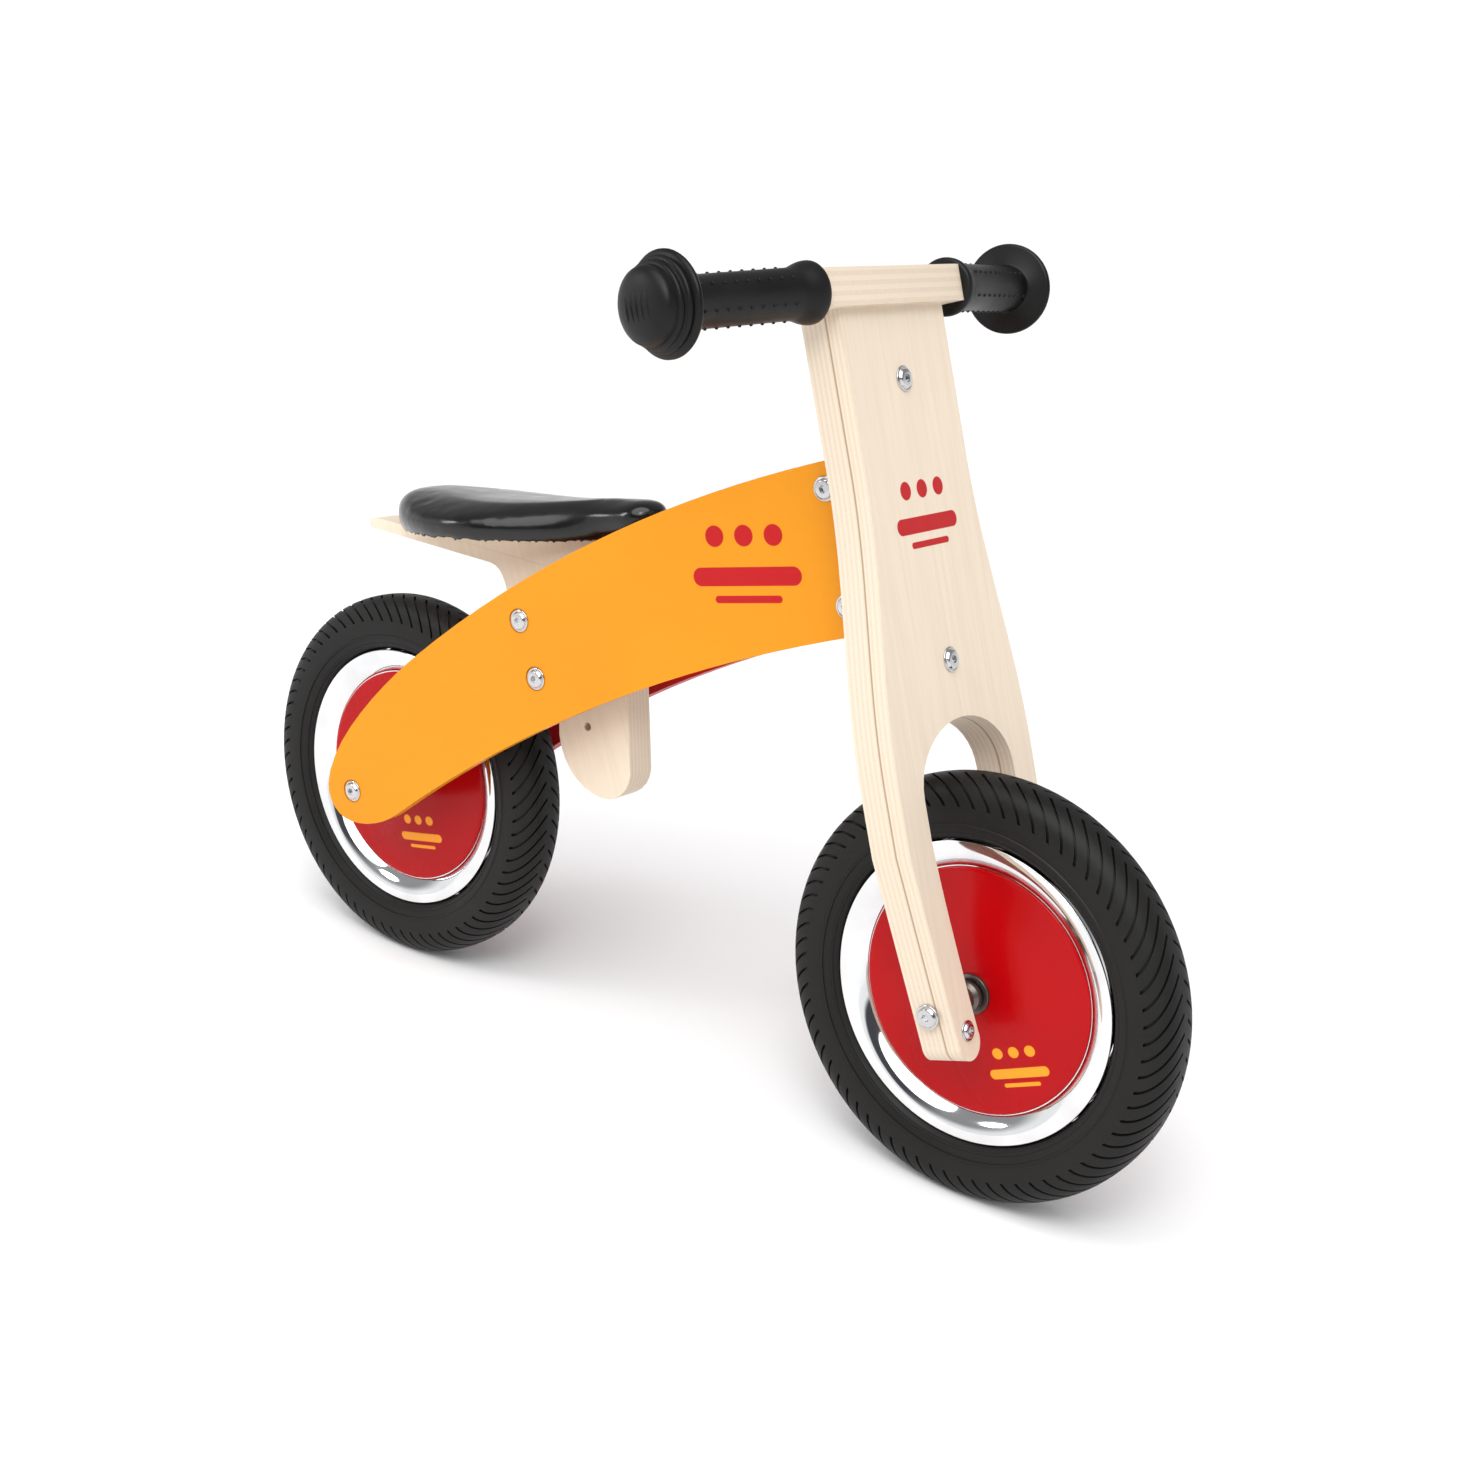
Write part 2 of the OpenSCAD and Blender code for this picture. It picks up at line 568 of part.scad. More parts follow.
module leg_screws() {
    color(c_steel) at_front() both_sides() translate([board_front, 52.6, -14])
        rotate([0, 90, 0]) bolt(2.5, 22, 7, 3);
}
module steering_pin() {
    color(c_steel) at_front() translate([-pin_back, 0, 0]) {
        translate([0, 0, bolt_low - 36]) cylinder(r = pin_d / 2, h = bolt_high - bolt_low + 58.1);
        translate([0, 0, bolt_high + 22]) linear_extrude(5.3) circle(r = 7.5, $fn = 6);
    }
}
module steering_nut() {
    color(c_steel) at_front() translate([-pin_back, 0, bolt_low - 30]) difference() {
        linear_extrude(8) circle(r = 7.5, $fn = 6);
        translate([0, 0, -1]) cylinder(r = pin_d / 2 + 0.05, h = 10);
    }
}

// ------------------------------------------------------------------- handlebar
// local frame of the left arm of the bar: z outwards along the arm from the bend
module at_arm() {
    at_front() translate([bar_x, bar_half, bar_s]) rotate([0, 0, sweep]) rotate([-90, 0, 0])
        children();
}
// corners of the bar in plan, on its front (k = 1) or rear (k = -1) edge
function bar_corners(k) = let (r = k * bar_d / 2) [
    [bar_x - 6 * sin(sweep) + r * cos(sweep), bar_half + 6 * cos(sweep) + r * sin(sweep)],
    [bar_x + r, bar_half + r * tan(sweep / 2)]];
module handlebar() {
    front = bar_corners(1);
    rear = bar_corners(-1);
    color(c_birch) difference() {
        union() {
            at_front() translate([0, 0, board_h]) linear_extrude(bar_d - 1.5) polygon(concat(
                front, [for (i = [1, 0]) [front[i][0], -front[i][1]]],
                [for (i = [0, 1]) [rear[i][0], -rear[i][1]]], [rear[1], rear[0]]));
            both_sides() at_arm() translate([0, 0, 5]) cylinder(r = tenon_d / 2, h = grip_l - 11);
        }
        at_front() both_sides() translate([bar_x, 34, board_h - 34]) cylinder(r = 4.05, h = 44);
    }
}
module bar_dowels() {
    color(c_birch) at_front() both_sides() translate([bar_x, 34, board_h - 34])
        cylinder(r = 4, h = 43.5);
}
module grip() {
    f = flare_d / 2;
    b = grip_d / 2;
    g = guard_d / 2;
    l = grip_l;
    at_arm() difference() {
        rotate_extrude() polygon(concat(
            [[0, 6.2], [f - 2, 6.2], [f - 0.5, 7], [f, 9]],
            [for (i = [1:6]) [f - (f - b) * blend(i / 6), 9 + 17 * i / 6]],
            [[b, l - 28], [b + 1.5, l - 26.5], [g - 1.5, l - 25.5], [g, l - 24], [g, l - 22],
             [g - 1, l - 21], [g - 3, l - 20.6], [g - 3, l - 17.4], [g - 4, l - 16.6],
             [g - 5.8, l - 16.2], [g - 5.8, l - 13.2], [g - 6.6, l - 12.4], [g - 8.4, l - 12]],
            [for (i = [0:6]) [(g - 8.6) * cos(13 * i), l - 8 + 8 * sin(15 * i)]],
            [[0, l]]));
        translate([0, 0, -1]) cylinder(r = tenon_d / 2 + 0.05, h = l - 4.5);
    }
}
module grip_left() { color(c_rubber) grip(); }
module grip_right() { color(c_rubber) mirror([0, 1, 0]) grip(); }

panel_right();
panel_left();
head_block();
head_bushes();
head_screws();
seat_post();
seat_spacer_right();
seat_spacer_left();
seat_bolts();
seat_sleeves();
seat_wedge();
saddle_board();
saddle_pad();
saddle_screws();
rear_axle();
rear_spacers();
rear_axle_bolts();
rear_tyre();
rear_tube();
rear_rim();
rear_disc_right();
rear_disc_left();
rear_hub();
rear_bearings();
fork_board();
upper_lug();
lower_lug();
lug_screws();
steering_pin();
steering_nut();
handlebar();
bar_dowels();
grip_right();
grip_left();
leg_screws();
front_axle();
front_spacers();
front_axle_bolts();
front_tyre();
front_tube();
front_rim();
front_disc_right();
front_disc_left();
front_hub();
front_bearings();
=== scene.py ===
# Child's balance bike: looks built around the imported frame, in metres
import json
import math

import bmesh
import bpy
from mathutils import Matrix, Vector


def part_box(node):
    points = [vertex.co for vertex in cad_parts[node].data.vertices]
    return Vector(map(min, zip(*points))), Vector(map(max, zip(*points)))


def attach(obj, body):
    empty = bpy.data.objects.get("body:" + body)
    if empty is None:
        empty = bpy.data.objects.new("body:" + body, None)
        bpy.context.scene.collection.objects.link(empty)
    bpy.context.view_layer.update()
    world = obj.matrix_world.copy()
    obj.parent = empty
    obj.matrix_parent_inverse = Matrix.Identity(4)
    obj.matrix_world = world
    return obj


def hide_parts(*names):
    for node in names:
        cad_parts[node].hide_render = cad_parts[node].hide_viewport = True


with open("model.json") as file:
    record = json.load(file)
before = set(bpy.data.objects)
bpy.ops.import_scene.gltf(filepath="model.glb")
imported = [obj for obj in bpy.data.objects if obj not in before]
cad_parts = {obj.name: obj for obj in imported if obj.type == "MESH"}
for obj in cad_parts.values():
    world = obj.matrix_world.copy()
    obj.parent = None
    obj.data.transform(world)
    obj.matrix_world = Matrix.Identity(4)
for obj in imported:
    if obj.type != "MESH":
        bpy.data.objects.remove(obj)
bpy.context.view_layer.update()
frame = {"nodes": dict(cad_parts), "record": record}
record = frame["record"]
joints = {joint["name"]: joint for joint in record["behaviour"]["joints"]}
bodyOf = {node: body for body, members in record["behaviour"]["bodies"].items() for node in members}
mm = 0.001


def framePlace(origin, across, along, outward):
    place = Matrix((across, along, outward)).transposed().to_4x4()
    place.translation = origin
    return place


def turned(degrees, axis):
    return Matrix.Rotation(math.radians(degrees), 4, axis)


def ease(t):
    # 0 to 1 with a soft start and a soft end
    return 0.5 - 0.5 * math.cos(math.pi * t)


boardUp = Vector(joints["steering"]["axis"]).normalized()
boardFront = Vector((0, 1, 0)).cross(boardUp)  # normal of the board's front face
frontAxle = Vector(joints["front_wheel_spin"]["pos_m"])
rearAxle = Vector(joints["rear_wheel_spin"]["pos_m"])
wheelPlace = {"front": Matrix.Translation(frontAxle), "rear": Matrix.Translation(rearAxle)}
wheelTurn = turned(-90, "X")  # lathe axis z onto the wheel's y

# x forward of the fork board, z up it
forkPlace = framePlace(frontAxle, boardFront, Vector((0, 1, 0)), boardUp)


def newMaterial(name):
    material = bpy.data.materials.new(name)
    material.use_nodes = True
    return material, material.node_tree, material.node_tree.nodes["Principled BSDF"]


def addNode(tree, kind, inputs=None, **settings):
    node = tree.nodes.new("ShaderNode" + kind)
    for key, value in settings.items():
        setattr(node, key, value)
    for key, value in (inputs or {}).items():
        setInput(tree, node.inputs[key], value)
    return node


def setInput(tree, socket, value):
    if isinstance(value, bpy.types.NodeSocket):
        tree.links.new(value, socket)
    else:
        socket.default_value = value


def calc(tree, operation, first, second=0.0):
    return addNode(tree, "Math", {0: first, 1: second}, operation=operation).outputs[0]


def fade(tree, value, low, high, fromLow=0.0, fromHigh=1.0):
    inputs = {"Value": value, "From Min": fromLow, "From Max": fromHigh, "To Min": low, "To Max": high}
    return addNode(tree, "MapRange", inputs, clamp=True).outputs[0]


def smoothFade(tree, value, fromLow, fromHigh):
    inputs = {"Value": value, "From Min": fromLow, "From Max": fromHigh}
    return addNode(tree, "MapRange", inputs, interpolation_type="SMOOTHSTEP").outputs[0]


def localCoords(tree, place):
    inputs = {
        "Vector": addNode(tree, "TexCoord").outputs["Object"],
        "Location": place.translation,
        "Rotation": place.to_euler(),
    }
    return addNode(tree, "Mapping", inputs, vector_type="TEXTURE").outputs[0]


def noise(tree, coords, scale, detail=3.0, stretch=(1, 1, 1), roughness=0.5):
    stretched = addNode(tree, "VectorMath", {0: coords, 1: stretch}, operation="MULTIPLY").outputs[0]
    inputs = {"Vector": stretched, "Scale": scale, "Detail": detail, "Roughness": roughness}
    return addNode(tree, "TexNoise", inputs).outputs[0]


def mixColour(tree, factor, first, second):
    node = addNode(tree, "Mix", data_type="RGBA")
    for socket, value in zip((node.inputs[0], node.inputs[6], node.inputs[7]), (factor, first, second)):
        setInput(tree, socket, (*value, 1) if isinstance(value, tuple) else value)
    return node.outputs[2]


def addBump(tree, shader, height, strength, distance):
    inputs = {"Height": height, "Strength": strength, "Distance": distance}
    if shader.inputs["Normal"].is_linked:
        inputs["Normal"] = shader.inputs["Normal"].links[0].from_socket
    tree.links.new(addNode(tree, "Bump", inputs).outputs[0], shader.inputs["Normal"])


def setSheen(shader, specular, coat=0.0, coatRoughness=0.03):
    shader.inputs["Specular IOR Level"].default_value = specular
    shader.inputs["Coat Weight"].default_value = coat
    shader.inputs["Coat Roughness"].default_value = coatRoughness


def facingMask(tree, direction, begins=0.80, full=0.97):
    # 1 where the surface faces the direction, 0 elsewhere; begins and full are cosines
    normal = addNode(tree, "TexCoord").outputs["Normal"]
    inputs = {0: normal, 1: direction}
    facing = addNode(tree, "VectorMath", inputs, operation="DOT_PRODUCT").outputs["Value"]
    return smoothFade(tree, facing, begins, full)


def decorMask(tree, coords, decor, edge=0.25 * mm):
    # rounded bars and a row of dots, in the x-y plane of the given coordinates
    split = addNode(tree, "SeparateXYZ", {0: coords}).outputs
    distance = None
    for bar in decor["bars"]:
        fromMiddle = calc(tree, "ABSOLUTE", calc(tree, "SUBTRACT", split[0], bar["x"]))
        across = calc(tree, "SUBTRACT", fromMiddle, bar["length"] / 2 - bar["width"] / 2)
        upward = calc(tree, "SUBTRACT", split[1], bar["y"])
        squares = calc(tree, "ADD", calc(tree, "POWER", calc(tree, "MAXIMUM", across, 0.0), 2.0),
                       calc(tree, "POWER", calc(tree, "ABSOLUTE", upward), 2.0))
        gap = calc(tree, "SUBTRACT", calc(tree, "SQRT", squares), bar["width"] / 2)
        distance = gap if distance is None else calc(tree, "MINIMUM", distance, gap)
    dots = decor["dots"]
    steps = calc(tree, "ROUND", calc(tree, "DIVIDE", split[0], dots["pitch"]))
    limit = (dots["count"] - 1) / 2
    held = calc(tree, "MAXIMUM", calc(tree, "MINIMUM", steps, limit), -limit)
    across = calc(tree, "SUBTRACT", split[0], calc(tree, "MULTIPLY", held, dots["pitch"]))
    upward = calc(tree, "SUBTRACT", split[1], dots["y"])
    squares = calc(tree, "ADD", calc(tree, "MULTIPLY", across, across),
                   calc(tree, "MULTIPLY", upward, upward))
    gap = calc(tree, "SUBTRACT", calc(tree, "SQRT", squares), dots["radius"])
    return smoothFade(tree, calc(tree, "MINIMUM", distance, gap), edge, -edge)


def addDecor(tree, colour, decor):
    # the motif laid over a colour, on the outward face only
    motif = decorMask(tree, localCoords(tree, decor["place"]), decor)
    mask = calc(tree, "MULTIPLY", motif, facingMask(tree, decor["outward"]))
    return mixColour(tree, mask, colour, decor["colour"])


def decorOn(place, outward, size, colour):
    # a generic motif: a long bar, a short bar and a row of dots
    return {
        "place": place, "outward": outward, "colour": colour,
        "bars": [{"x": 0.0, "y": -0.16 * size, "length": size, "width": 0.15 * size},
                 {"x": 0.0, "y": -0.34 * size, "length": 0.62 * size, "width": 0.06 * size}],
        "dots": {"pitch": 0.27 * size, "count": 3, "y": 0.16 * size, "radius": 0.085 * size},
    }


def addPiece(name, bm, material, body, replaced, sharpAngle=32):
    mesh = bpy.data.meshes.new(name)
    bm.to_mesh(mesh)
    bm.free()
    mesh.materials.append(material)
    mesh.polygons.foreach_set("use_smooth", [True] * len(mesh.polygons))
    mesh.set_sharp_from_angle(angle=math.radians(sharpAngle))
    piece = bpy.data.objects.new(name, mesh)
    bpy.context.collection.objects.link(piece)
    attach(piece, body)
    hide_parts(*replaced)
    return piece


def lathe(profile, steps, closed=False):
    # turns points (radius, height) round the z axis
    bm = bmesh.new()
    corners = [bm.verts.new((radius, 0, height)) for radius, height in profile]
    edges = [bm.edges.new(pair) for pair in zip(corners, corners[1:])]
    if closed:
        edges.append(bm.edges.new((corners[-1], corners[0])))
    bmesh.ops.spin(bm, geom=corners + edges, cent=(0, 0, 0), axis=(0, 0, 1), angle=2 * math.pi,
                   steps=steps, use_merge=True)
    bmesh.ops.remove_doubles(bm, verts=bm.verts, dist=1e-6)
    bmesh.ops.recalc_face_normals(bm, faces=bm.faces)
    return bm


def moved(bm, place):
    bmesh.ops.transform(bm, matrix=place, verts=bm.verts)
    return bm


def joined(parts):
    whole = bmesh.new()
    for part in parts:
        mesh = bpy.data.meshes.new("joining")
        part.to_mesh(mesh)
        part.free()
        whole.from_mesh(mesh)
        bpy.data.meshes.remove(mesh)
    return whole


def mergedCopy(node):
    # a copy of a CAD node's mesh with its loose triangles joined and its flat faces whole
    bm = bmesh.new()
    bm.from_mesh(frame["nodes"][node].data)
    bmesh.ops.remove_doubles(bm, verts=bm.verts, dist=2e-6)
    bmesh.ops.dissolve_limit(bm, angle_limit=math.radians(0.6), verts=bm.verts, edges=bm.edges)
    return bm


def softened(node, material, radius, segments=3, angle=33):
    # the CAD shape with its sharp edges rounded over
    piece = addPiece(node + "_shaped", mergedCopy(node), material, bodyOf[node], (node,))
    bevel = piece.modifiers.new("roundedEdges", "BEVEL")
    bevel.width = radius
    bevel.segments = segments
    bevel.limit_method = "ANGLE"
    bevel.angle_limit = math.radians(angle)
    bevel.harden_normals = True
    return piece


def paintNode(node, material):
    mesh = frame["nodes"][node].data
    mesh.materials.clear()
    mesh.materials.append(material)


birchLook = {
    "face": (0.77, 0.66, 0.53), "streak": (0.70, 0.575, 0.435), "glue": (0.40, 0.28, 0.18),
    "edgeLight": (0.725, 0.615, 0.49), "edgeDark": (0.54, 0.41, 0.28),
    "ply": 1.9 * mm, "wobble": 0.12, "oddPly": 0.38, "stretch": 30.0,
    "roughness": 0.45, "specular": 0.3, "bump": 0.08,
}


def birchWood(name, place, stack, grain, ply=birchLook["ply"], glueLine=None, decor=None):
    # stack is the local axis across the plies, grain the one along the fibres
    look = birchLook
    material, tree, shader = newMaterial(name)
    coords = localCoords(tree, place)
    split = addNode(tree, "SeparateXYZ", {0: coords}).outputs
    stretch = [look["stretch"]] * 3
    stretch[grain] = 1.0
    streaks = noise(tree, coords, scale=9.0, detail=5.0, stretch=tuple(stretch), roughness=0.62)
    cloud = noise(tree, coords, scale=7.0, detail=2.0)
    streaked = fade(tree, streaks, 0.0, 0.75, fromLow=0.38, fromHigh=0.75)
    clouded = fade(tree, cloud, 0.0, 0.25, fromLow=0.4, fromHigh=0.75)
    face = mixColour(tree, streaked, look["face"], look["streak"])
    face = mixColour(tree, clouded, face, look["streak"])
    wobble = calc(tree, "MULTIPLY", noise(tree, coords, scale=30.0, detail=2.0), look["wobble"])
    level = calc(tree, "ADD", calc(tree, "DIVIDE", split[stack], ply), wobble)
    odd = smoothFade(tree, calc(tree, "PINGPONG", level, 1.0), 0.40, 0.60)
    fibres = fade(tree, noise(tree, coords, scale=900.0, detail=2.0), 0.0, 0.55, fromLow=0.35, fromHigh=0.65)
    dark = mixColour(tree, fibres, look["edgeDark"], look["edgeLight"])
    edge = mixColour(tree, calc(tree, "MULTIPLY", odd, look["oddPly"]), look["edgeLight"], dark)
    if glueLine is not None:
        gap = calc(tree, "ABSOLUTE", calc(tree, "SUBTRACT", split[stack], glueLine))
        edge = mixColour(tree, smoothFade(tree, gap, 1.1 * mm, 0.3 * mm), edge, look["glue"])
    axis = place.to_3x3().col[stack]
    onFace = calc(tree, "MAXIMUM", facingMask(tree, axis), facingMask(tree, -axis))
    colour = mixColour(tree, onFace, edge, face)
    if decor:
        colour = addDecor(tree, colour, decor)
    tree.links.new(colour, shader.inputs["Base Color"])
    rough = fade(tree, streaks, look["roughness"] - 0.05, look["roughness"] + 0.10)
    tree.links.new(rough, shader.inputs["Roughness"])
    setSheen(shader, look["specular"])
    addBump(tree, shader, streaks, strength=look["bump"], distance=0.3 * mm)
    return material


lacquerLook = {
    "shade": 0.86, "stretch": (1.0, 26.0, 26.0), "roughness": (0.34, 0.46), "specular": 0.25,
    "grainBump": 0.06, "peelBump": 0.04,
}


def lacquer(name, colour, place, decor):
    # satin paint over plywood: the grain shows through a little
    look = lacquerLook
    material, tree, shader = newMaterial(name)
    coords = localCoords(tree, place)
    grain = noise(tree, coords, scale=8.0, detail=4.0, stretch=look["stretch"], roughness=0.6)
    cloud = noise(tree, coords, scale=5.0, detail=2.0)
    darker = tuple(look["shade"] * channel for channel in colour)
    clouded = fade(tree, cloud, 0.0, 0.5, fromLow=0.35, fromHigh=0.7)
    grained = fade(tree, grain, 0.0, 0.16, fromLow=0.45, fromHigh=0.75)
    paint = mixColour(tree, clouded, colour, darker)
    paint = mixColour(tree, grained, paint, darker)
    tree.links.new(addDecor(tree, paint, decor), shader.inputs["Base Color"])
    tree.links.new(fade(tree, grain, *look["roughness"]), shader.inputs["Roughness"])
    setSheen(shader, look["specular"])
    addBump(tree, shader, grain, strength=look["grainBump"], distance=0.3 * mm)
    orangePeel = noise(tree, coords, scale=350.0, detail=1.0)
    addBump(tree, shader, orangePeel, strength=look["peelBump"], distance=0.2 * mm)
    return material


def metal(name, colour, roughness, metallic=1.0, brushed=0.0, shade=0.88):
    material, tree, shader = newMaterial(name)
    coords = addNode(tree, "TexCoord").outputs["Object"]
    smudge = noise(tree, coords, scale=28.0)
    duller = tuple(shade * channel for channel in colour)
    smudged = fade(tree, smudge, 0.0, 1.0, fromLow=0.4, fromHigh=0.7)
    rough = fade(tree, smudge, roughness, roughness + 0.06, fromLow=0.3, fromHigh=0.7)
    tree.links.new(mixColour(tree, smudged, colour, duller), shader.inputs["Base Color"])
    tree.links.new(rough, shader.inputs["Roughness"])
    shader.inputs["Metallic"].default_value = metallic
    if brushed:
        fine = noise(tree, coords, scale=1400.0, detail=2.0)
        addBump(tree, shader, fine, strength=brushed, distance=0.05 * mm)
    return material


def rubber(name, colour, roughness, grainScale, grainDepth, specular=0.25):
    material, tree, shader = newMaterial(name)
    coords = addNode(tree, "TexCoord").outputs["Object"]
    patches = noise(tree, coords, scale=22.0, detail=4.0)
    grain = noise(tree, coords, grainScale)
    dusty = tuple(1.6 * channel + 0.002 for channel in colour)
    dusted = fade(tree, patches, 0.0, 0.7, fromLow=0.4, fromHigh=0.75)
    rough = fade(tree, patches, roughness - 0.06, roughness + 0.10, fromLow=0.3, fromHigh=0.7)
    tree.links.new(mixColour(tree, dusted, colour, dusty), shader.inputs["Base Color"])
    tree.links.new(rough, shader.inputs["Roughness"])
    setSheen(shader, specular)
    addBump(tree, shader, grain, strength=0.35, distance=grainDepth)
    return material


panelLook = {
    "toe": 5.3, "orange": (0.75, 0.275, 0.004), "red": (0.50, 0.004, 0.008), "round": 1.6 * mm,
    "decorAt": (0.346, 0.262), "decorTilt": 12.0, "decorSize": 0.088,
}
decorRed = (0.46, 0.003, 0.006)
decorOrange = (0.90, 0.33, 0.02)


def panelPlace(side):
    # outer face of a panel: x along it, y up
    low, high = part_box("panel_left" if side > 0 else "panel_right")
    toe = math.radians(panelLook["toe"])
    along = Vector((math.cos(toe), -side * math.sin(toe), 0))
    rearEdge = Vector((rearAxle.x, side * max(abs(low.y), abs(high.y)), rearAxle.z))
    return framePlace(rearEdge, along, Vector((0, 0, 1)), along.cross(Vector((0, 0, 1))))


def makeFramePanels():
    look = panelLook
    for side, node, colour, accent in ((-1, "panel_right", look["orange"], decorRed),
                                       (1, "panel_left", look["red"], decorOrange)):
        place = panelPlace(side)
        decorPlace = place @ Matrix.Translation((*look["decorAt"], 0)) @ turned(look["decorTilt"], "Z")
        decor = decorOn(decorPlace, Vector((0, side, 0)), look["decorSize"], accent)
        softened(node, lacquer(node + "_paint", colour, place, decor), look["round"])


boardLook = {
    "round": 3.0 * mm, "lugRound": 1.0 * mm, "glueLine": 6.5 * mm, "front": 17.5 * mm,
    "decorUp": 0.328, "decorSize": 0.072,
}
barLook = {"ply": 3.1 * mm, "round": 7.5 * mm, "segments": 5, "angle": 50}
postLook = {"tilt": -24.5, "round": 2.0 * mm, "thinRound": 0.8 * mm}


def makeWoodwork():
    xAxis, yAxis, zAxis = 0, 1, 2
    decorPlace = framePlace(forkPlace @ Vector((boardLook["front"], 0, boardLook["decorUp"])),
                            Vector((0, 1, 0)), boardUp, boardFront)
    decor = decorOn(decorPlace, boardFront, boardLook["decorSize"], decorRed)
    board = birchWood("birch_board", forkPlace, xAxis, zAxis, glueLine=boardLook["glueLine"], decor=decor)
    softened("fork_board", board, boardLook["round"], segments=4)
    bar = birchWood("birch_bar", forkPlace, zAxis, yAxis, barLook["ply"])
    softened("handlebar", bar, barLook["round"], barLook["segments"], barLook["angle"])
    postPlace = Matrix.Translation(rearAxle) @ turned(postLook["tilt"], "Y")
    post = birchWood("birch_post", postPlace, yAxis, zAxis)
    softened("seat_post", post, postLook["round"])
    softened("seat_wedge", post, postLook["thinRound"], segments=2)
    flat = birchWood("birch_flat", Matrix.Translation(rearAxle), zAxis, xAxis)
    softened("saddle_board", flat, postLook["thinRound"], segments=2)
    for node in ("head_block", "seat_spacer_right", "seat_spacer_left", "bar_dowels"):
        paintNode(node, post)
    for node in ("upper_lug", "lower_lug"):
        softened(node, board, boardLook["lugRound"], segments=2)


tyreLook = {
    "pitches": 72, "steps": 5, "slant": 13.0, "slantFade": 1.15, "depth": 2.3 * mm, "fullness": 0.76,
    "tuck": 2.5 * mm, "sharp": 40, "black": (0.006, 0.0055, 0.005),
    # section angles in degrees, from the crown down to the foot of the sidewall
    "tread": [3, 9, 15, 21, 28, 35, 42, 49, 56, 63, 70, 77, 84],
    "side": [89, 94, 99, 103, 104.2, 107, 108.2, 113, 118, 122, 123.4, 127, 128.4, 134, 140, 146],
    "ridges": {104.2: 0.8 * mm, 107: 0.8 * mm, 123.4: 0.7 * mm, 127: 0.7 * mm},
}


def signedPower(value, power):
    return math.copysign(abs(value) ** power, value)


def makeTyre(wheel):
    look = tyreLook
    low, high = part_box(wheel + "_tyre")
    rimLow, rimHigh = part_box(wheel + "_rim")
    outer = (high.z - low.z) / 2
    halfWidth = (high.y - low.y) / 2
    inner = (rimHigh.z - rimLow.z) / 2 - look["tuck"]
    middle, rise = (outer + inner) / 2, (outer - inner) / 2
    shoulder = look["tread"][-1]

    def slantAt(angle):
        return math.radians(look["slant"]) * max(0.0, 1 - angle / shoulder) ** look["slantFade"]

    def sectionPoint(angle, side):
        turn = math.radians(angle)
        raised = look["ridges"].get(angle, 0.0)
        radius = middle + (rise + raised) * signedPower(math.cos(turn), look["fullness"])
        across = side * (halfWidth + raised) * abs(math.sin(turn)) ** look["fullness"]
        return radius, across, slantAt(angle)

    angles = look["tread"] + look["side"]
    section = [sectionPoint(angle, -1) for angle in reversed(angles)]
    section += [sectionPoint(angle, 1) for angle in angles]
    bm = bmesh.new()
    corners = [bm.verts.new((radius * math.cos(slant), across, radius * math.sin(slant)))
               for radius, across, slant in section]
    edges = [bm.edges.new(pair) for pair in zip(corners, corners[1:] + corners[:1])]
    columns = look["pitches"] * look["steps"]
    bmesh.ops.spin(bm, geom=corners + edges, cent=(0, 0, 0), axis=(0, -1, 0), angle=2 * math.pi,
                   steps=columns, use_merge=True)
    bmesh.ops.recalc_face_normals(bm, faces=bm.faces)

    def inGroove(face):
        # every fifth column between the crown and the shoulder, half a pitch apart on the two sides
        centre = face.calc_center_median()
        radius = math.hypot(centre.x, centre.z)
        power = 1 / look["fullness"]
        rising = signedPower((radius - middle) / rise, power)
        angle = math.degrees(math.atan2(min(1, abs(centre.y) / halfWidth) ** power, rising))
        if angle > shoulder or angle < look["tread"][0]:
            return False
        turn = (math.atan2(centre.z, centre.x) - slantAt(angle)) / (2 * math.pi) * look["pitches"]
        offset = 0.5 if centre.y > 0 else 0.0
        column = int((turn + offset) % 1 * look["steps"])
        return column == 0

    floor = [face for face in bm.faces if inGroove(face)]
    sunk = bmesh.ops.extrude_face_region(bm, geom=floor)["geom"]
    bmesh.ops.delete(bm, geom=[face for face in floor if face.is_valid], context="FACES")
    for vert in [item for item in sunk if isinstance(item, bmesh.types.BMVert)]:
        radius = math.hypot(vert.co.x, vert.co.z)
        heart = Vector((vert.co.x * middle / radius, 0, vert.co.z * middle / radius))
        vert.co += (heart - vert.co).normalized() * look["depth"]
    bmesh.ops.recalc_face_normals(bm, faces=bm.faces)
    moved(bm, wheelPlace[wheel])
    addPiece(wheel + "_tyre_tread", bm, tyreRubber, wheel + "_wheel", (wheel + "_tyre",),
             look["sharp"])


rimLook = {
    "lip": 1.8 * mm, "wall": 1.8 * mm, "wallDepths": (4.9 * mm, 0.6 * mm), "roll": 0.9 * mm,
    "rollTurns": (-45, 0, 30, 60, 90), "dish": 17 * mm, "dishSteps": 14, "curve": 2.2,
    "seat": 8.4 * mm, "steps": 160, "sharp": 40,
    # depth below the lip and height from the wheel's middle
    "well": [(9.5 * mm, 0), (9.5 * mm, 8.4 * mm), (4.9 * mm, 10.1 * mm)],
    "back": [(21.5 * mm, 8.4 * mm), (21.5 * mm, 6.9 * mm), (16 * mm, 7.9 * mm), (11.2 * mm, 11.4 * mm),
             (11.2 * mm, 0)],
}


